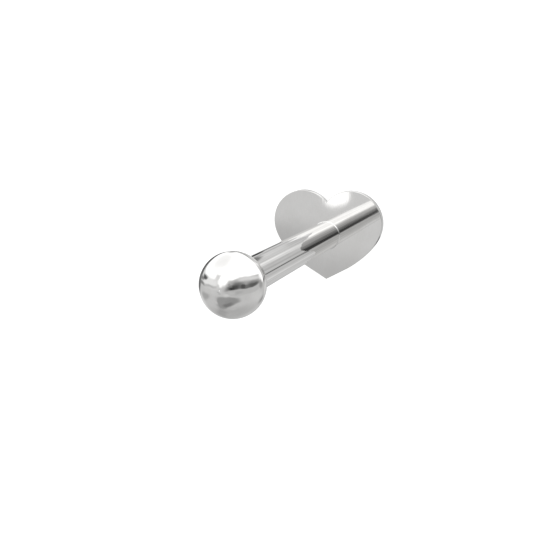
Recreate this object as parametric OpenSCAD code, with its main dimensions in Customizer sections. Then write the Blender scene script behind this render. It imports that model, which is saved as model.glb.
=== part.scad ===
// Labret stud: a heart plate soldered to a tube post, and a ball end whose pin fits the post's bore.
// It stands on its heart plate: the plate's back is at z = 0, the post's axis is the Z axis, and
// the heart's tip points to -Y.

/* [Heart plate] */
// Width of the heart across its lobes
heart_w = 4.88; // [3.5:0.01:7]
// Height of the heart from the tip to the top of the lobes
heart_h = 3.9; // [3.2:0.05:6]
// Depth of the notch between the lobes
notch_depth = 0.5; // [0.2:0.05:0.9]
// Full angle between the two straight sides at the tip
tip_angle = 121; // [100:1:135]
// Length of each straight side at the tip
tip_side = 1.0; // [0.4:0.05:1.4]
// Thickness of the plate
plate_t = 0.3; // [0.2:0.05:0.6]

/* [Post] */
// Outer diameter of the post
post_d = 1.2; // [1:0.1:1.6]
// Length of the post from the plate's front face to its free end
post_len = 8; // [6:0.5:12]
// Diameter of the blind bore in the post's free end
bore_d = 0.6; // [0.5:0.05:0.8]
// Chamfer round the post's free end
mouth_chamfer = 0.05; // [0.02:0.01:0.1]
// Height of the solder bead round the post's foot
solder_h = 0.04; // [0.02:0.01:0.15]
// Width of the solder bead, out from the post
solder_w = 0.03; // [0.02:0.01:0.15]

/* [Ball end] */
// Diameter of the ball
ball_d = 2.1; // [1.8:0.1:4]
// Length of the pin below the ball's flat seat
pin_len = 4; // [2:0.5:5]
// Length of the cone at the pin's tip
pin_taper = 0.25; // [0.1:0.05:0.5]

/* [Fits] */
// Radial clearance of the pin in the bore
pin_clearance = 0.025; // [0.01:0.005:0.08]
// Gap between the post's end and the ball's seat
seat_gap = 0.02; // [0.01:0.01:0.05]
// Free depth of the bore beyond the pin's tip
bore_spare = 0.5; // [0.2:0.1:1]

/* [Hidden] */

// Leads of the flank's curve at the straight side and at the lobe, as shares of the flank's chord
flank_lead = 0.15;
lobe_lead = 0.4;
// Points on each lobe's arc and on each flank's curve
lobe_points = 28;
flank_points = 18;
// Angle at the bottom of the drilled bore
drill_angle = 118;
// Share of its diameter to which the pin's tip tapers
pin_tip_share = 0.5;

lobe_r = heart_w / 2 + notch_depth - sqrt(heart_w * notch_depth);
lobe_x = heart_w / 2 - lobe_r;
lobe_y = heart_h / 2 - lobe_r;
notch_angle = 180 - acos(lobe_x / lobe_r);
side_slope = 90 - tip_angle / 2;

tip = [0, -heart_h / 2];
flank_start = tip + tip_side * [cos(side_slope), sin(side_slope)];
flank_end = [heart_w / 2, lobe_y];
flank_chord = norm(flank_end - flank_start);
flank_control_low = flank_start + flank_lead * flank_chord * [cos(side_slope), sin(side_slope)];
flank_control_high = flank_end - lobe_lead * flank_chord * [0, 1];

post_top = plate_t + post_len;
bore_depth = pin_len - seat_gap + bore_spare;
bore_cone = bore_d / 2 / tan(drill_angle / 2);
pin_d = bore_d - 2 * pin_clearance;
seat_z = post_top + seat_gap;
ball_r = ball_d / 2;
ball_z = seat_z + sqrt(ball_r * ball_r - post_d * post_d / 4);
// Small overlap that lets joined shapes fuse and cuts pass through a face
bite = 0.05;

// A cubic curve from a to d with control points b and c
function curve_point(a, b, c, d, t) =
    pow(1 - t, 3) * a + 3 * pow(1 - t, 2) * t * b + 3 * (1 - t) * t * t * c + pow(t, 3) * d;

// The right half of the heart, from the tip round to just before the notch
right_flank = [
    for (i = [0 : flank_points - 1])
        curve_point(flank_start, flank_control_low, flank_control_high, flank_end, i / flank_points)
];
right_lobe = [
    for (i = [0 : lobe_points - 1])
        let (a = notch_angle * i / lobe_points)
            [lobe_x + lobe_r * cos(a), lobe_y + lobe_r * sin(a)]
];
right_half = concat(right_flank, right_lobe);
notch = [0, lobe_y + lobe_r * sin(notch_angle)];
left_half = [for (i = [len(right_half) - 1 : -1 : 0]) [-right_half[i][0], right_half[i][1]]];
heart_outline = concat([tip], right_half, [notch], left_half);

module heart_plate() {
    linear_extrude(plate_t) polygon(heart_outline);
}

module post_shaft() {
    rotate_extrude($fn = 96)
        polygon([
            [0, plate_t - bite],
            [post_d / 2, plate_t - bite],
            [post_d / 2, post_top - mouth_chamfer],
            [post_d / 2 - mouth_chamfer, post_top],
            [0, post_top]
        ]);
}

// A ring of solder with a hollow face, a quarter round between the plate and the post
module solder_bead(steps = 6) {
    foot = post_d / 2 + solder_w;
    rotate_extrude($fn = 96)
        polygon(concat(
            [[post_d / 2 - bite, plate_t - bite], [foot, plate_t - bite]],
            [
                for (i = [0 : steps])
                    let (a = 90 * i / steps)
                        [foot - solder_w * sin(a), plate_t + solder_h * (1 - cos(a))]
            ],
            [[post_d / 2 - bite, plate_t + solder_h]]
        ));
}

module blind_bore() {
    translate([0, 0, post_top - bore_depth]) {
        cylinder(d = bore_d, h = bore_depth + bite, $fn = 64);
        mirror([0, 0, 1]) cylinder(d1 = bore_d, d2 = 0, h = bore_cone, $fn = 64);
    }
}

module heart_post() {
    color("silver")
        difference() {
            union() {
                heart_plate();
                post_shaft();
                solder_bead();
            }
            blind_bore();
        }
}

module seated_ball() {
    difference() {
        translate([0, 0, ball_z]) sphere(d = ball_d, $fn = 96);
        translate([0, 0, seat_z - ball_r]) cube(ball_d, center = true);
    }
}

module pin() {
    translate([0, 0, seat_z - pin_len]) {
        cylinder(d1 = pin_d * pin_tip_share, d2 = pin_d, h = pin_taper, $fn = 64);
        translate([0, 0, pin_taper]) cylinder(d = pin_d, h = pin_len - pin_taper + bite, $fn = 64);
    }
}

module ball_end() {
    color("lightgray")
        union() {
            seated_ball();
            pin();
        }
}

heart_post();
ball_end();
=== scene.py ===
# Looks of the labret stud: a satin heart plate, a polished tube post soldered to it, and a ball end
# whose pin slides in the post. It stands on its heart plate. Lengths are in metres.
import math

import bmesh
import bpy
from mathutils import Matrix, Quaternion, Vector


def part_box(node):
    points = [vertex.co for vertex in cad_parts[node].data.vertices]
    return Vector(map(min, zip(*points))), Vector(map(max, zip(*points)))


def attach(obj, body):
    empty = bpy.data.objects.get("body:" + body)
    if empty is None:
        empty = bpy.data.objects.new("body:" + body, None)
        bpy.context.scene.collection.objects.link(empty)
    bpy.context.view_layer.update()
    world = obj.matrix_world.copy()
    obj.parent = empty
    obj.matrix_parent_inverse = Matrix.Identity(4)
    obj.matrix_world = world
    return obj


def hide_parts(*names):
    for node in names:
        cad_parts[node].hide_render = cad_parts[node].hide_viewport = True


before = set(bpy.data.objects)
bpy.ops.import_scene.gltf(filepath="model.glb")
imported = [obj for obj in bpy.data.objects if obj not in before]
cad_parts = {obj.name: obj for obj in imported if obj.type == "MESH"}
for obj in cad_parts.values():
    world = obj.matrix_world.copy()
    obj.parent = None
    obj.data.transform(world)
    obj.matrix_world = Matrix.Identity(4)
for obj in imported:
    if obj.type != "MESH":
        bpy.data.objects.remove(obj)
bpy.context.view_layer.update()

MM = 0.001
# A cut runs through the points that are nearer to it than this
TINY = 1e-8
# Heights and radii that differ by less than this count as equal, as a circle and its chords do
NEAR = 1e-6
# A face is flat when the Z of its normal, up or down, is more than this
FLAT = 0.999
# Sides of the post and of the solder bead
ROUND_SIDES = 160
# How deep the post and the solder bead reach into what they are joined to
SINK = 0.05 * MM

# Sizes that the CAD solids give
heart_low, heart_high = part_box("heart_post")
ball_low, ball_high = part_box("ball_end")
HEART_W = heart_high.x - heart_low.x
HEART_H = heart_high.y - heart_low.y
POST_TOP = heart_high.z
BALL_R = (ball_high.x - ball_low.x) / 2
BALL_MIDDLE = ball_high.z - BALL_R

# Sizes that repeat the CAD source's named values
PLATE_T = 0.3 * MM
NOTCH_DEPTH = 0.5 * MM
TIP_ANGLE = math.radians(121)
TIP_SIDE = 1.0 * MM
FLANK_LEAD = 0.15
LOBE_LEAD = 0.4
POST_R = 0.6 * MM
BORE_R = 0.3 * MM
BORE_DEPTH = 4.48 * MM
MOUTH_CHAMFER = 0.05 * MM
SOLDER_H = 0.04 * MM
SOLDER_W = 0.03 * MM
PIN_R = 0.275 * MM
PIN_LEN = 4.0 * MM
PIN_TAPER = 0.25 * MM
PIN_TIP_SHARE = 0.5
SEAT_GAP = 0.02 * MM
SEAT_Z = POST_TOP + SEAT_GAP


# Steps of modelling by hand


def deselect_all():
    bpy.ops.object.select_all(action="DESELECT")


def place_in_mesh(name):
    """Name the new object and put its place into its mesh."""
    obj = bpy.context.object
    obj.name = name
    obj.data.name = name
    bpy.ops.object.transform_apply(location=True, rotation=True, scale=True)
    return obj


def edit(obj):
    bpy.context.view_layer.objects.active = obj
    obj.select_set(True)
    bpy.ops.object.mode_set(mode="EDIT")


def leave_edit():
    bpy.ops.object.mode_set(mode="OBJECT")


def pick(kind, test):
    """Select only the edges or faces of the edited mesh that pass the test."""
    bpy.ops.mesh.select_mode(type=kind)
    bpy.ops.mesh.select_all(action="DESELECT")
    mesh = bmesh.from_edit_mesh(bpy.context.object.data)
    parts = mesh.edges if kind == "EDGE" else mesh.faces
    for part in parts:
        if test(part):
            part.select_set(True)
    mesh.select_flush_mode()
    bmesh.update_edit_mesh(bpy.context.object.data)


def grow(height, factor, centre):
    """Extrude the selected faces or edges, lift them by height and scale them flat about a centre."""
    bpy.ops.mesh.extrude_region_move(TRANSFORM_OT_translate={"value": (0, 0, height)})
    bpy.ops.transform.resize(value=(factor, factor, 1), center_override=centre)


def ring_cut(z):
    """Cut a ring of edges into the edited mesh at a height."""
    bpy.ops.mesh.select_all(action="SELECT")
    bpy.ops.mesh.bisect(plane_co=(0, 0, z), plane_no=(0, 0, 1), threshold=TINY)


def face_outwards():
    """Turn all faces of the edited mesh outwards."""
    bpy.ops.mesh.select_all(action="SELECT")
    bpy.ops.mesh.normals_make_consistent(inside=False)


def smooth(obj, angle=35):
    deselect_all()
    bpy.context.view_layer.objects.active = obj
    obj.select_set(True)
    bpy.ops.object.shade_smooth_by_angle(angle=math.radians(angle))


def flat_ring(edge, z, radius):
    """True for an edge of the ring of that radius at that height."""
    return all(abs(v.co.z - z) < NEAR and abs(v.co.xy.length - radius) < NEAR for v in edge.verts)


def flat_face(face, z):
    """True for a flat face at that height, whether it looks up or down."""
    return abs(face.normal.z) > FLAT and abs(face.calc_center_median().z - z) < NEAR


# Heart plate


def heart_outline():
    """The heart's outline at the plate's back: a closed curve of eight points, made a loop of edges."""
    steps_per_arc = 26
    lobe_r = HEART_W / 2 + NOTCH_DEPTH - math.sqrt(HEART_W * NOTCH_DEPTH)
    lobe = Vector((HEART_W / 2 - lobe_r, HEART_H / 2 - lobe_r, 0))
    notch_angle = math.pi - math.acos(lobe.x / lobe_r)
    slope = math.pi / 2 - TIP_ANGLE / 2
    side = Vector((math.cos(slope), math.sin(slope), 0))
    tip = Vector((0, -HEART_H / 2, 0))
    flank_start = tip + side * TIP_SIDE
    flank_end = Vector((HEART_W / 2, lobe.y, 0))
    chord = (flank_end - flank_start).length
    # The lobe is two arcs of half the notch's angle
    arc_lead = 4 / 3 * math.tan(notch_angle / 8) * lobe_r

    def on_lobe(angle):
        return lobe + lobe_r * Vector((math.cos(angle), math.sin(angle), 0))

    def along(angle):
        return Vector((-math.sin(angle), math.cos(angle), 0)) * arc_lead

    lobe_top = on_lobe(notch_angle / 2)
    notch = on_lobe(notch_angle)
    # Each point of the right half with its handle towards the tip and its handle towards the notch
    right = [
        (flank_start, flank_start - side * TIP_SIDE / 3, flank_start + side * FLANK_LEAD * chord),
        (flank_end, flank_end - Vector((0, LOBE_LEAD * chord, 0)), flank_end + along(0)),
        (lobe_top, lobe_top - along(notch_angle / 2), lobe_top + along(notch_angle / 2)),
    ]

    def mirrored(p):
        return Vector((-p.x, p.y, p.z))

    left = [(mirrored(p), mirrored(b), mirrored(a)) for p, a, b in reversed(right)]
    tip_lead = side * TIP_SIDE / 3
    tip_point = (tip, tip + mirrored(tip_lead), tip + tip_lead)
    notch_lead = notch - along(notch_angle)
    notch_point = (notch, notch_lead, mirrored(notch_lead))
    points = [tip_point] + right + [notch_point] + left

    deselect_all()
    bpy.ops.curve.primitive_bezier_circle_add(radius=HEART_W / 2)
    curve = bpy.context.object
    edit(curve)
    bpy.ops.curve.select_all(action="SELECT")
    bpy.ops.curve.subdivide()
    leave_edit()
    spline = curve.data.splines[0]
    for bezier, (place, before, after) in zip(spline.bezier_points, points):
        bezier.handle_left_type = "FREE"
        bezier.handle_right_type = "FREE"
        bezier.co = place
        bezier.handle_left = before
        bezier.handle_right = after
    spline.resolution_u = steps_per_arc
    bpy.ops.object.convert(target="MESH")
    return place_in_mesh("heart_plate")


def make_heart_plate():
    rim_round = 0.015 * MM
    rim_border = 0.025 * MM
    # Rings across the front, as shares of the heart's size: the step to the next, and the last
    ring_step = 0.03
    last_ring = 0.12
    obj = heart_outline()
    edit(obj)
    bpy.ops.mesh.select_mode(type="EDGE")
    bpy.ops.mesh.select_all(action="SELECT")
    bpy.ops.mesh.edge_face_add()
    bpy.ops.mesh.select_mode(type="FACE")
    bpy.ops.mesh.extrude_region_move(TRANSFORM_OT_translate={"value": (0, 0, PLATE_T)})
    face_outwards()
    # A flat border inside each rim keeps the round edge's shading off the flat faces
    for z in (0, PLATE_T):
        pick("FACE", lambda f: flat_face(f, z))
        bpy.ops.mesh.inset(thickness=rim_border)
    # The front's one large face has more than four corners, and those of its border have four
    pick("FACE", lambda f: flat_face(f, PLATE_T) and len(f.verts) > 4)
    ring = 1.0
    while ring > last_ring:
        share = (ring - ring_step) / ring
        grow(0, share, (0, 0, PLATE_T))
        ring *= share
    face_outwards()

    def rim(edge):
        flat = [f for f in edge.link_faces if abs(f.normal.z) > FLAT]
        return len(edge.link_faces) == 2 and len(flat) == 1

    pick("EDGE", rim)
    bpy.ops.mesh.bevel(offset=rim_round, segments=3, profile=0.5, affect="EDGES")
    face_outwards()
    leave_edit()
    smooth(obj)
    return obj


# Tube post


def make_tube_post():
    bore_round = 0.02 * MM
    border = 0.03 * MM
    # The drill's point leaves a cone at the bottom, down to this share of the bore's radius
    cone_depth = 0.17 * MM
    cone_tip_share = 0.05
    foot_z = PLATE_T - SINK
    height = POST_TOP - foot_z
    deselect_all()
    bpy.ops.mesh.primitive_cylinder_add(
        vertices=ROUND_SIDES, radius=POST_R, depth=height, location=(0, 0, foot_z + height / 2)
    )
    obj = place_in_mesh("tube_post")
    edit(obj)
    pick("FACE", lambda f: flat_face(f, POST_TOP))
    bpy.ops.mesh.inset(thickness=POST_R - BORE_R)
    bpy.ops.mesh.extrude_region_move(TRANSFORM_OT_translate={"value": (0, 0, -BORE_DEPTH)})
    grow(-cone_depth, cone_tip_share, (0, 0, 0))
    pick("EDGE", lambda e: flat_ring(e, POST_TOP, POST_R))
    bpy.ops.mesh.bevel(offset=MOUTH_CHAMFER, segments=4, profile=0.5, affect="EDGES")
    pick("EDGE", lambda e: flat_ring(e, POST_TOP, BORE_R))
    bpy.ops.mesh.bevel(offset=bore_round, segments=2, profile=0.5, affect="EDGES")
    # Rings next to the rounded edges keep the end flat and the long walls straight in reflections
    pick("FACE", lambda f: flat_face(f, POST_TOP))
    bpy.ops.mesh.inset(thickness=border)
    ring_cut(POST_TOP - MOUTH_CHAMFER - border)
    face_outwards()
    leave_edit()
    smooth(obj)
    return obj


# Solder bead


def make_solder_bead():
    """A ring of solder with a hollow face, between the plate and the post."""
    steps = 8
    foot = POST_R + SOLDER_W
    bottom = PLATE_T - SINK
    deselect_all()
    bpy.ops.mesh.primitive_circle_add(
        vertices=ROUND_SIDES, radius=foot, fill_type="NOTHING", location=(0, 0, bottom)
    )
    obj = place_in_mesh("solder_bead")
    edit(obj)
    bpy.ops.mesh.select_mode(type="EDGE")
    bpy.ops.mesh.select_all(action="SELECT")
    radius = foot
    height = bottom
    for i in range(steps + 1):
        angle = math.pi / 2 * i / steps
        next_radius = foot - SOLDER_W * math.sin(angle)
        next_height = PLATE_T + SOLDER_H * (1 - math.cos(angle))
        grow(next_height - height, next_radius / radius, (0, 0, 0))
        radius = next_radius
        height = next_height
    grow(0, (POST_R - SINK) / radius, (0, 0, 0))
    grow(bottom - height, 1, (0, 0, 0))
    pick("EDGE", lambda e: len(e.link_faces) == 1)
    bpy.ops.mesh.bridge_edge_loops()
    face_outwards()
    leave_edit()
    smooth(obj, angle=60)
    return obj


# Ball end


def make_ball_end():
    seat_border = 0.04 * MM
    taper_round = 0.03 * MM
    # Height above the taper of a ring that keeps the pin's wall straight
    taper_ring = 0.06 * MM
    taper_top = SEAT_Z - PIN_LEN + PIN_TAPER
    seat_r = math.sqrt(BALL_R**2 - (SEAT_Z - BALL_MIDDLE) ** 2)
    deselect_all()
    bpy.ops.mesh.primitive_uv_sphere_add(
        segments=192, ring_count=128, radius=BALL_R, location=(0, 0, BALL_MIDDLE)
    )
    obj = place_in_mesh("ball_end_steel")
    edit(obj)
    bpy.ops.mesh.select_all(action="SELECT")
    bpy.ops.mesh.bisect(
        plane_co=(0, 0, SEAT_Z),
        plane_no=(0, 0, 1),
        use_fill=True,
        clear_inner=True,
        threshold=TINY,
    )
    pick("FACE", lambda f: flat_face(f, SEAT_Z))
    bpy.ops.mesh.inset(thickness=seat_border)
    grow(0, PIN_R / (seat_r - seat_border), (0, 0, SEAT_Z))
    bpy.ops.mesh.extrude_region_move(
        TRANSFORM_OT_translate={"value": (0, 0, PIN_TAPER - PIN_LEN)}
    )
    grow(-PIN_TAPER, PIN_TIP_SHARE, (0, 0, 0))
    pick("EDGE", lambda e: flat_ring(e, taper_top, PIN_R))
    bpy.ops.mesh.bevel(offset=taper_round, segments=3, profile=0.5, affect="EDGES")
    ring_cut(taper_top + taper_ring)
    face_outwards()
    leave_edit()
    smooth(obj)
    return obj


# Shader nodes


def add(tree, kind, **values):
    """A new node in a tree, with its settings, or its inputs by name."""
    node = tree.nodes.new(kind)
    for name, value in values.items():
        if hasattr(node, name):
            setattr(node, name, value)
        else:
            node.inputs[name.replace("_", " ")].default_value = value
    return node


def feed(tree, socket, value):
    """Give an input its value: a number, a colour, or the output of another node."""
    if isinstance(value, bpy.types.NodeSocket):
        tree.links.new(value, socket)
    else:
        socket.default_value = value


def maths(tree, operation, first, second=None, third=None):
    """A Math node whose inputs are numbers or sockets. Returns its output."""
    node = add(tree, "ShaderNodeMath", operation=operation)
    for socket, value in zip(node.inputs, (first, second, third)):
        if value is not None:
            feed(tree, socket, value)
    return node.outputs[0]


def mix_node(tree, data_type, factor, low, high):
    """A Mix node that gives low where the factor is 0 and high where it is 1. Returns its output."""
    # Numbers and colours have their own sockets: the places of low, of high and of the output
    low_place, high_place, output_place = {"FLOAT": (2, 3, 0), "RGBA": (6, 7, 2)}[data_type]
    node = add(tree, "ShaderNodeMix", data_type=data_type)
    feed(tree, node.inputs[0], factor)
    feed(tree, node.inputs[low_place], low)
    feed(tree, node.inputs[high_place], high)
    return node.outputs[output_place]


def blend_values(tree, factor, low, high):
    return mix_node(tree, "FLOAT", factor, low, high)


def blend_colours(tree, factor, low, high):
    return mix_node(tree, "RGBA", factor, low, high)


def fade(tree, value, zero_at, one_at, step="SMOOTHSTEP"):
    """0 where the value is zero_at and 1 where it is one_at, with a soft step between them."""
    node = add(tree, "ShaderNodeMapRange", interpolation_type=step)
    feed(tree, node.inputs["Value"], value)
    feed(tree, node.inputs["From Min"], zero_at)
    feed(tree, node.inputs["From Max"], one_at)
    return node.outputs["Result"]


def new_group(name, inputs, outputs):
    """A shader node group with named sockets. Returns the group and its two end nodes."""
    tree = bpy.data.node_groups.new(name, "ShaderNodeTree")
    for socket_name, socket_type, value in inputs:
        socket = tree.interface.new_socket(socket_name, in_out="INPUT", socket_type=socket_type)
        if value is not None:
            socket.default_value = value
    for socket_name, socket_type in outputs:
        tree.interface.new_socket(socket_name, in_out="OUTPUT", socket_type=socket_type)
    return tree, tree.nodes.new("NodeGroupInput"), tree.nodes.new("NodeGroupOutput")


def use_group(tree, group, **values):
    node = tree.nodes.new("ShaderNodeGroup")
    node.node_tree = group
    for name, value in values.items():
        node.inputs[name.replace("_", " ")].default_value = value
    return node


FLOAT = "NodeSocketFloat"
VECTOR = "NodeSocketVector"

# Values of the noise between which a scratch gets its tone, and between which the haze sets in
SCRATCH_SPAN = (0.42, 0.62)
HAZE_SPAN = (0.4, 0.7)


def fine_scratches_group():
    """Hairline marks left by polishing. Stretch draws them out along an axis."""
    tree, start, end = new_group(
        "fine_scratches",
        [("Place", VECTOR, None), ("Scale", FLOAT, 9000.0), ("Stretch", VECTOR, (1.0, 1.0, 0.05))],
        [("Height", FLOAT), ("Tone", FLOAT)],
    )
    stretched = add(tree, "ShaderNodeVectorMath", operation="MULTIPLY")
    tree.links.new(start.outputs["Place"], stretched.inputs[0])
    tree.links.new(start.outputs["Stretch"], stretched.inputs[1])
    noise = add(tree, "ShaderNodeTexNoise", Detail=1.0, Roughness=0.6)
    tree.links.new(stretched.outputs[0], noise.inputs["Vector"])
    tree.links.new(start.outputs["Scale"], noise.inputs["Scale"])
    tree.links.new(noise.outputs["Fac"], end.inputs["Height"])
    tree.links.new(fade(tree, noise.outputs["Fac"], *SCRATCH_SPAN), end.inputs["Tone"])
    return tree


def handling_haze_group():
    """Soft cloudy patches where the polish is a little duller."""
    tree, start, end = new_group(
        "handling_haze",
        [("Place", VECTOR, None), ("Scale", FLOAT, 900.0), ("Amount", FLOAT, 1.0)],
        [("Haze", FLOAT)],
    )
    noise = add(tree, "ShaderNodeTexNoise", Detail=4.0, Roughness=0.55)
    tree.links.new(start.outputs["Place"], noise.inputs["Vector"])
    tree.links.new(start.outputs["Scale"], noise.inputs["Scale"])
    cloud = fade(tree, noise.outputs["Fac"], *HAZE_SPAN)
    haze = maths(tree, "MULTIPLY", cloud, start.outputs["Amount"])
    tree.links.new(haze, end.inputs["Haze"])
    return tree


def make_steel(
    name, colour, dull_colour, roughness, haze, scratch_scale, stretch, scratch_depth, scratch_tone
):
    """A steel finish. roughness is its lowest and highest value, and haze its scale and amount."""
    material = bpy.data.materials.new(name)
    material.use_nodes = True
    tree = material.node_tree
    shader = tree.nodes["Principled BSDF"]
    shader.inputs["Metallic"].default_value = 1.0
    shader.inputs["IOR"].default_value = STEEL_IOR
    place = tree.nodes.new("ShaderNodeTexCoord").outputs["Object"]
    haze_node = use_group(tree, GROUPS["handling_haze"], Scale=haze[0], Amount=haze[1])
    tree.links.new(place, haze_node.inputs["Place"])
    marks = use_group(tree, GROUPS["fine_scratches"], Scale=scratch_scale, Stretch=stretch)
    tree.links.new(place, marks.inputs["Place"])
    clouded = blend_colours(tree, haze_node.outputs["Haze"], colour, dull_colour)
    share = maths(tree, "MULTIPLY", marks.outputs["Tone"], scratch_tone)
    scratched = blend_colours(tree, share, clouded, SCRATCH_GREY)
    tree.links.new(scratched, shader.inputs["Base Color"])
    rough = blend_values(tree, haze_node.outputs["Haze"], *roughness)
    tree.links.new(rough, shader.inputs["Roughness"])
    bump = add(tree, "ShaderNodeBump", Strength=1.0, Distance=scratch_depth)
    tree.links.new(marks.outputs["Height"], bump.inputs["Height"])
    tree.links.new(bump.outputs["Normal"], shader.inputs["Normal"])
    return material


STEEL_IOR = 2.5
SILVER_GREY = (0.93, 0.925, 0.915, 1.0)
DULL_GREY = (0.90, 0.893, 0.88, 1.0)
SCRATCH_GREY = (0.55, 0.545, 0.535, 1.0)
SOLDER_GREY = (0.95, 0.948, 0.94, 1.0)

GROUPS = {"fine_scratches": fine_scratches_group(), "handling_haze": handling_haze_group()}

polished_ball = make_steel(
    "polished_ball_steel",
    SILVER_GREY,
    DULL_GREY,
    roughness=(0.035, 0.07),
    haze=(1400.0, 1.0),
    scratch_scale=6000.0,
    stretch=(1.0, 1.0, 1.0),
    scratch_depth=0.0002 * MM,
    scratch_tone=0.04,
)
polished_post = make_steel(
    "polished_post_steel",
    SILVER_GREY,
    DULL_GREY,
    roughness=(0.015, 0.04),
    haze=(1500.0, 1.0),
    scratch_scale=14000.0,
    stretch=(1.0, 1.0, 0.01),
    scratch_depth=0.0045 * MM,
    scratch_tone=0.45,
)
satin_plate = make_steel(
    "satin_plate_steel",
    SILVER_GREY,
    DULL_GREY,
    roughness=(0.03, 0.05),
    haze=(1100.0, 1.0),
    scratch_scale=14000.0,
    stretch=(1.0, 0.3, 1.0),
    scratch_depth=0.0001 * MM,
    scratch_tone=0.03,
)
bright_solder = make_steel(
    "bright_solder",
    SOLDER_GREY,
    SILVER_GREY,
    roughness=(0.08, 0.14),
    haze=(5000.0, 1.0),
    scratch_scale=20000.0,
    stretch=(1.0, 1.0, 1.0),
    scratch_depth=0.0002 * MM,
    scratch_tone=0.05,
)

# The finished pieces on their bodies

heart_plate = make_heart_plate()
tube_post = make_tube_post()
solder_bead = make_solder_bead()
ball_end = make_ball_end()
for piece, finish in (
    (heart_plate, satin_plate),
    (tube_post, polished_post),
    (solder_bead, bright_solder),
    (ball_end, polished_ball),
):
    piece.data.materials.clear()
    piece.data.materials.append(finish)
for piece in (heart_plate, tube_post, solder_bead):
    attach(piece, "post")
    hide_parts("heart_post")
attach(ball_end, "ball")
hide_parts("ball_end")
# The plate mirrors the post alone, without the ball over its end
ball_end.visible_glossy = False


# Studio: a soft dome whose panels and flags the steel mirrors, and a lit white table


def sky_place_group():
    """Turns a direction into its place on the dome: degrees from the zenith towards +X and +Y."""
    # Keeps the divisions below away from nothing at the zenith
    least = 1e-6
    tree, start, end = new_group("sky_place", [("Direction", VECTOR, None)], [("Place", VECTOR)])
    split = tree.nodes.new("ShaderNodeSeparateXYZ")
    tree.links.new(start.outputs["Direction"], split.inputs[0])
    x, y, z = split.outputs
    squares = maths(tree, "ADD", maths(tree, "MULTIPLY", x, x), maths(tree, "MULTIPLY", y, y))
    sideways = maths(tree, "MAXIMUM", maths(tree, "SQRT", squares), least)
    tilt = maths(tree, "DEGREES", maths(tree, "ARCTAN2", sideways, z))
    join = tree.nodes.new("ShaderNodeCombineXYZ")
    for socket, part in zip(join.inputs, (x, y)):
        share = maths(tree, "DIVIDE", part, sideways)
        tree.links.new(maths(tree, "MULTIPLY", tilt, share), socket)
    tree.links.new(join.outputs[0], end.inputs["Place"])
    return tree


def soft_card_group():
    """A card with soft edges. Half Width and Half Height reach to the middle of its soft edge."""
    tree, start, end = new_group(
        "soft_card",
        [
            ("Place", VECTOR, None),
            ("Centre X", FLOAT, 0.0),
            ("Centre Y", FLOAT, 0.0),
            ("Half Width", FLOAT, 10.0),
            ("Half Height", FLOAT, 10.0),
            ("Turn", FLOAT, 0.0),
            ("Edge", FLOAT, 4.0),
            ("Roundness", FLOAT, 3.0),
        ],
        [("Mask", FLOAT)],
    )
    centre = tree.nodes.new("ShaderNodeCombineXYZ")
    tree.links.new(start.outputs["Centre X"], centre.inputs[0])
    tree.links.new(start.outputs["Centre Y"], centre.inputs[1])
    turn = add(tree, "ShaderNodeVectorRotate", rotation_type="Z_AXIS")
    tree.links.new(start.outputs["Place"], turn.inputs["Vector"])
    tree.links.new(centre.outputs[0], turn.inputs["Center"])
    # The place turns back, so the card turns anticlockwise by its degrees
    turn_back = maths(tree, "MULTIPLY", start.outputs["Turn"], -math.radians(1))
    tree.links.new(turn_back, turn.inputs["Angle"])
    moved = add(tree, "ShaderNodeVectorMath", operation="SUBTRACT")
    tree.links.new(turn.outputs[0], moved.inputs[0])
    tree.links.new(centre.outputs[0], moved.inputs[1])
    split = tree.nodes.new("ShaderNodeSeparateXYZ")
    tree.links.new(moved.outputs[0], split.inputs[0])
    half_width = start.outputs["Half Width"]
    half_height = start.outputs["Half Height"]
    power = start.outputs["Roundness"]
    edge = start.outputs["Edge"]
    across = maths(tree, "DIVIDE", maths(tree, "ABSOLUTE", split.outputs[0]), half_width)
    down = maths(tree, "DIVIDE", maths(tree, "ABSOLUTE", split.outputs[1]), half_height)
    total = maths(tree, "ADD", maths(tree, "POWER", across, power), maths(tree, "POWER", down, power))
    reach = maths(tree, "POWER", total, maths(tree, "DIVIDE", 1.0, power))
    # The reach is 1 at the card's edge. Times the card's shorter half, it is in the place's own unit
    shorter = maths(tree, "MINIMUM", half_width, half_height)
    outside = maths(tree, "MULTIPLY", maths(tree, "SUBTRACT", reach, 1.0), shorter)
    mask = fade(tree, outside, edge, maths(tree, "MULTIPLY", edge, -1.0), step="SMOOTHERSTEP")
    tree.links.new(mask, end.inputs["Mask"])
    return tree


def lay_cards(tree, place, base, cards):
    """Lays soft cards over a base brightness, in turn. Returns the brightness."""
    level = base
    for brightness, x, y, half_width, half_height, turn, edge in cards:
        card = use_group(
            tree,
            GROUPS["soft_card"],
            Centre_X=x,
            Centre_Y=y,
            Half_Width=half_width,
            Half_Height=half_height,
            Turn=turn,
            Edge=edge,
        )
        tree.links.new(place, card.inputs["Place"])
        level = blend_values(tree, card.outputs["Mask"], level, brightness)
    return level


GROUPS["sky_place"] = sky_place_group()
GROUPS["soft_card"] = soft_card_group()

# Brightness of the dome where no card hangs
DOME_LEVEL = 0.55
# How far the cards' outlines waver, in degrees, and the scale of the noise that moves them
WAVER = 5.0
WAVER_SCALE = 0.035
# Distances from the post's axis up to which the table's painted bands of light and shade show in full,
# and at which they end
BANDS_FULL = 5.0 * MM
BANDS_END = 6.2 * MM
WHITE = (1.0, 1.0, 1.0, 1.0)

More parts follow.
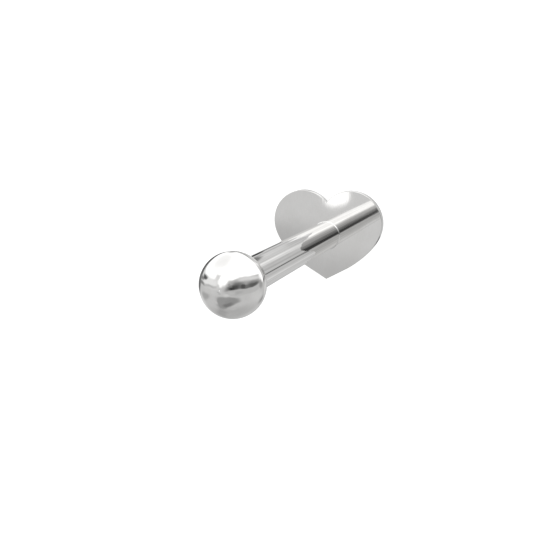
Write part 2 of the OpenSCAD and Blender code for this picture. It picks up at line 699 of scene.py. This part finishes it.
# Brightness, centre in degrees from the zenith towards +X and +Y, half width, half height, turn and
# softness of the edge, for each panel and flag round the stud. Each one covers those before it
STUDIO_CARDS = [
    # Pale wall low on the left, and the grey band low in front
    (0.73, -118.0, -90.0, 26.0, 50.0, 0.0, 16.0),
    (0.44, -10.0, -95.0, 70.0, 26.0, 0.0, 16.0),
    (0.37, -42.0, -86.0, 22.0, 11.0, 25.0, 8.0),
    # Grey band across the front on the right, and a paler wall above it
    (0.33, 84.0, -112.0, 36.0, 8.0, 42.0, 7.0),
    (0.60, 100.0, -60.0, 16.0, 40.0, 0.0, 12.0),
    # Small greys between the front flag and the panels
    (0.50, 10.0, -72.0, 10.0, 6.0, 0.0, 4.0),
    (0.40, -78.0, -33.0, 18.0, 10.0, 25.0, 6.0),
    (0.60, -60.0, -12.0, 28.0, 10.0, 0.0, 8.0),
    # Grey flag in front, shaped like a boot
    (0.31, 6.0, -38.0, 36.0, 12.0, -5.0, 4.5),
    (0.29, 1.0, -50.0, 37.0, 12.0, 18.0, 6.0),
    (0.31, -19.0, -48.0, 12.0, 21.0, 0.0, 3.0),
    (0.20, -1.0, -54.0, 17.0, 6.0, 12.0, 4.0),
    # Grey panel on the right, the dark flag below it in soft steps, and greys that end the flag
    # with a crisper lower edge
    (0.72, 84.0, 28.0, 46.0, 17.0, 0.0, 8.0),
    (0.44, 82.0, 17.0, 48.0, 12.0, 0.0, 8.0),
    (0.50, 27.0, 16.0, 20.0, 9.0, 35.0, 7.0),
    (0.22, 44.0, 14.0, 21.0, 11.0, 6.0, 8.0),
    (0.24, 98.0, 13.0, 24.0, 11.0, 0.0, 8.0),
    (0.16, 72.0, 6.0, 53.0, 9.0, 0.0, 5.0),
    (0.16, 25.0, 6.0, 23.0, 8.0, 20.0, 5.0),
    (0.075, 33.0, 7.0, 14.0, 7.0, 0.0, 5.0),
    (0.085, 61.0, 8.0, 7.0, 8.0, 0.0, 4.0),
    (0.10, 100.0, 8.0, 15.0, 7.0, 0.0, 5.0),
    (0.50, 76.0, -15.0, 64.0, 12.0, 0.0, 4.0),
    (0.43, 34.0, -13.0, 24.0, 6.0, 0.0, 4.0),
    (0.36, 130.0, -13.0, 7.0, 25.0, 0.0, 5.0),
    # Pale panel on the left, with a thin shadow at its foot, and dark flags behind and below it
    (0.84, -62.0, 13.0, 50.0, 15.0, 0.0, 10.0),
    (0.49, -56.0, 1.0, 36.0, 3.5, 4.0, 4.5),
    (0.07, -132.5, 14.0, 20.5, 50.0, 14.0, 5.0),
    (0.16, -121.0, -14.0, 11.0, 28.0, 12.0, 5.0),
    (0.25, -104.0, 5.0, 14.0, 4.0, 22.0, 3.0),
    (0.25, -98.0, -5.0, 14.0, 4.0, 12.0, 3.0),
    (0.10, -86.0, 19.0, 14.0, 6.0, 25.0, 4.0),
    # White ceiling on the side of the heart's lobes, and two greyer places in it
    (1.25, 10.0, 130.0, 160.0, 86.0, 0.0, 5.0),
    (1.25, -66.0, 54.0, 46.0, 29.0, 0.0, 6.0),
    (1.25, -2.0, 40.0, 17.0, 28.0, -25.0, 5.0),
    (1.25, 27.0, 42.0, 20.0, 9.0, 23.0, 5.0),
    (1.15, -15.5, 14.0, 6.5, 9.0, 0.0, 4.0),
    (1.25, 148.0, 40.0, 10.0, 50.0, 0.0, 5.0),
    (1.25, 140.0, 56.0, 14.0, 34.0, 0.0, 8.0),
    (0.74, -30.0, 34.0, 8.0, 7.0, 0.0, 5.0),
    (1.0, -50.0, 88.0, 34.0, 28.0, 20.0, 18.0),
    # Dark flags low behind the left panel, which draw the thin dark line round the ball
    (0.22, -147.0, 50.0, 9.0, 24.0, -20.0, 5.0),
    (0.28, -110.0, 97.0, 24.0, 6.0, 42.0, 4.0),
]

# The same, near the zenith and with outlines that don't waver, for what the plate mirrors: greys
# that reach the post by way of the plate, greys that show on the plate itself, and last the small
# lamp that glints at its notch
ZENITH_CARDS = [
    (0.34, 16.4, 13.6, 4.5, 5.5, 44.0, 3.0),
    (0.20, 20.0, 8.6, 5.0, 4.0, 24.0, 3.0),
    (0.62, 4.0, -19.5, 9.0, 4.0, 0.0, 3.0),
    (0.52, 22.0, -14.0, 12.0, 5.5, 0.0, 4.0),
    (0.045, 24.0, 1.8, 9.0, 4.5, 3.0, 3.5),
    (0.67, -23.0, 5.5, 4.5, 7.0, 0.0, 3.5),
    (0.61, -17.0, -7.0, 7.0, 8.0, 0.0, 3.0),
    (0.46, -22.5, -11.5, 3.0, 2.0, 0.0, 1.5),
    (0.48, -18.0, -15.5, 4.0, 3.0, 0.0, 2.0),
    (1.25, -17.8, -6.3, 1.22, 1.45, 12.0, 0.22),
]

# The same in millimetres from the post's axis, for painted light and shade in the table's glow that the
# post
# mirrors: a painted contact shadow behind the heart's notch, painted bright strips along the lobes, and
# painted shadows far out. The last one, a painted pale patch, shows only on the ball
TABLE_PAINTED_LIGHT = [
    (0.55, 0.0, 2.3, 1.0, 0.7, 0.0, 0.5),
    (1.00, -0.48, 2.10, 0.55, 0.2, -32.0, 0.12),
    (0.80, 0.50, 1.87, 0.5, 0.09, 32.0, 0.06),
    (0.22, -1.3, 4.6, 1.9, 0.4, 18.0, 0.25),
    (0.05, -3.7, 2.2, 0.75, 0.52, 60.0, 0.15),
    (0.85, 5.15, 1.85, 0.42, 2.0, 20.0, 0.2),
]

# Azimuth in degrees from +X towards +Y, and brightness there of the painted light and shade that the
# table's glow shows in mirrors round the plate's foot
FOOT_PAINTED_LIGHT = [
    (-180, 1.10),
    (-170, 1.15),
    (-160, 1.05),
    (-150, 0.34),
    (-130, 0.38),
    (-110, 0.53),
    (-60, 0.60),
    (-40, 0.70),
    (-28, 0.65),
    (-12, 0.50),
    (-9, 0.23),
    (-6, 0.11),
    (-2, 0.13),
    (0, 0.38),
    (2, 0.56),
    (10, 0.54),
    (30, 0.535),
    (45, 0.63),
    (60, 0.96),
    (68, 0.74),
    (79, 0.58),
    (90, 0.64),
    (103, 0.74),
    (111, 0.65),
    (121, 0.47),
    (130, 0.70),
    (139, 0.74),
    (147, 0.27),
    (156, 0.18),
    (162, 0.55),
    (170, 1.10),
]


def studio_light_group():
    """Brightness of the studio in a direction, as the steel mirrors it."""
    tree, start, end = new_group("studio_light", [("Direction", VECTOR, None)], [("Level", FLOAT)])
    place = use_group(tree, GROUPS["sky_place"])
    tree.links.new(start.outputs["Direction"], place.inputs["Direction"])
    # The cards' outlines waver by a few degrees, as those of real cloths and boards do
    waver = add(tree, "ShaderNodeTexNoise", Scale=WAVER_SCALE, Detail=1.0)
    tree.links.new(place.outputs["Place"], waver.inputs["Vector"])
    # The noise, from 0 to 1, becomes a shift from minus to plus the waver
    shift = add(tree, "ShaderNodeVectorMath", operation="MULTIPLY_ADD")
    tree.links.new(waver.outputs["Color"], shift.inputs[0])
    shift.inputs[1].default_value = (2 * WAVER, 2 * WAVER, 0.0)
    shift.inputs[2].default_value = (-WAVER, -WAVER, 0.0)
    wavering = add(tree, "ShaderNodeVectorMath", operation="ADD")
    tree.links.new(place.outputs["Place"], wavering.inputs[0])
    tree.links.new(shift.outputs[0], wavering.inputs[1])
    level = lay_cards(tree, wavering.outputs[0], DOME_LEVEL, STUDIO_CARDS)
    level = lay_cards(tree, place.outputs["Place"], level, ZENITH_CARDS)
    tree.links.new(level, end.inputs["Level"])
    return tree


def make_dome():
    """The studio for the steel to mirror, and plain white for the camera."""
    world = bpy.data.worlds.new("studio_dome")
    bpy.context.scene.world = world
    world.use_nodes = True
    tree = world.node_tree
    tree.nodes.clear()
    light = use_group(tree, GROUPS["studio_light"])
    tree.links.new(
        tree.nodes.new("ShaderNodeTexCoord").outputs["Generated"], light.inputs["Direction"]
    )
    mirrored = add(tree, "ShaderNodeBackground", Strength=1.0)
    tree.links.new(light.outputs["Level"], mirrored.inputs["Color"])
    seen = add(tree, "ShaderNodeBackground", Strength=1.0)
    seen.inputs["Color"].default_value = WHITE
    # The steel mirrors the dome, so nothing is gained by sampling it as a lamp
    world.cycles.sampling_method = "NONE"
    mix = tree.nodes.new("ShaderNodeMixShader")
    tree.links.new(tree.nodes.new("ShaderNodeLightPath").outputs["Is Camera Ray"], mix.inputs[0])
    tree.links.new(mirrored.outputs[0], mix.inputs[1])
    tree.links.new(seen.outputs[0], mix.inputs[2])
    tree.links.new(mix.outputs[0], tree.nodes.new("ShaderNodeOutputWorld").inputs[0])


def painted_foot_light(tree, place):
    """Painted light and shade round the foot by azimuth, with the painted shadows and bright strips
    laid over it, and the share of it that counts there.
    """
    split = tree.nodes.new("ShaderNodeSeparateXYZ")
    tree.links.new(place, split.inputs[0])
    azimuth = maths(tree, "ARCTAN2", split.outputs[1], split.outputs[0])
    # The ramp runs from 0 to 1 over one full turn, and +X is its middle
    turn = maths(tree, "MULTIPLY_ADD", azimuth, 0.5 / math.pi, 0.5)
    ramp = tree.nodes.new("ShaderNodeValToRGB")
    tree.links.new(turn, ramp.inputs[0])
    stops = ramp.color_ramp.elements
    while len(stops) < len(FOOT_PAINTED_LIGHT):
        stops.new(0.5)
    for stop, (degrees, level) in zip(stops, FOOT_PAINTED_LIGHT):
        stop.position = degrees / 360 + 0.5
        stop.color = (level, level, level, 1.0)
    distance = add(tree, "ShaderNodeVectorMath", operation="LENGTH")
    tree.links.new(place, distance.inputs[0])
    near = fade(tree, distance.outputs["Value"], BANDS_END, BANDS_FULL)
    in_mm = add(tree, "ShaderNodeVectorMath", operation="SCALE")
    tree.links.new(place, in_mm.inputs[0])
    in_mm.inputs["Scale"].default_value = 1 / MM
    painted_level = lay_cards(tree, in_mm.outputs[0], ramp.outputs[0], TABLE_PAINTED_LIGHT)
    return painted_level, near


def make_table():
    """A large pale table, lit through from below, so that only a faint shadow shows on it. In mirrors
    its glow is painted light and shade: the studio's light as seen from the ball's middle, and round
    the foot the painted light and shade.
    """
    radius = 1.5
    # The table's glow and its own grey, for the camera
    seen_glow = 0.92
    seen_grey = 0.4
    # Its own grey for mirrors, and the light it gives back there, which its glow is lowered by
    mirrored_grey = 0.1
    mirrored_light = 0.06
    deselect_all()
    bpy.ops.mesh.primitive_circle_add(vertices=96, radius=radius, fill_type="NGON")
    table = place_in_mesh("pale_table")
    material = bpy.data.materials.new("pale_table")
    material.cycles.emission_sampling = "NONE"
    material.use_nodes = True
    tree = material.node_tree
    tree.nodes.clear()
    place = tree.nodes.new("ShaderNodeTexCoord").outputs["Object"]
    # For mirrors the table's glow paints the studio's light as seen from the ball's middle, a painted
    # reflection of the dome
    from_ball = add(tree, "ShaderNodeVectorMath", operation="SUBTRACT")
    tree.links.new(place, from_ball.inputs[0])
    from_ball.inputs[1].default_value = (0, 0, BALL_MIDDLE)
    light = use_group(tree, GROUPS["studio_light"])
    tree.links.new(from_ball.outputs[0], light.inputs["Direction"])
    bands, near = painted_foot_light(tree, place)
    level = blend_values(tree, near, light.outputs["Level"], bands)
    is_seen = tree.nodes.new("ShaderNodeLightPath").outputs["Is Camera Ray"]
    glow = add(tree, "ShaderNodeEmission", Strength=1.0)
    mirrored_glow = maths(tree, "MAXIMUM", maths(tree, "SUBTRACT", level, mirrored_light), 0.0)
    tree.links.new(blend_values(tree, is_seen, mirrored_glow, seen_glow), glow.inputs["Color"])
    surface = tree.nodes.new("ShaderNodeBsdfDiffuse")
    tree.links.new(blend_values(tree, is_seen, mirrored_grey, seen_grey), surface.inputs["Color"])
    both = tree.nodes.new("ShaderNodeAddShader")
    tree.links.new(glow.outputs[0], both.inputs[0])
    tree.links.new(surface.outputs[0], both.inputs[1])
    tree.links.new(both.outputs[0], tree.nodes.new("ShaderNodeOutputMaterial").inputs[0])
    table.data.materials.append(material)


GROUPS["studio_light"] = studio_light_group()


def make_camera():
    """The camera at the photo's own angle. Its focal length is in pixels of the image."""
    place = Vector((8.538, 4.825, 25.477)) * MM
    aim = Vector((-1.655, -0.909, 3.0)) * MM
    roll = math.radians(-117.84)
    focal_pixels = 617.7
    image_width = 533
    # In millimetres, as Blender's lens value is
    sensor_width = 36
    nearest = 1 * MM
    farthest = 10
    bpy.ops.object.camera_add(location=place)
    camera = bpy.context.object
    camera.rotation_mode = "QUATERNION"
    camera.rotation_quaternion = (aim - place).to_track_quat("-Z", "Y") @ Quaternion((0, 0, 1), roll)
    camera.data.sensor_width = sensor_width
    camera.data.lens = sensor_width * focal_pixels / image_width
    camera.data.clip_start = nearest
    camera.data.clip_end = farthest
    bpy.context.scene.camera = camera


make_dome()
make_table()
make_camera()
bpy.context.scene.view_settings.view_transform = "Standard"
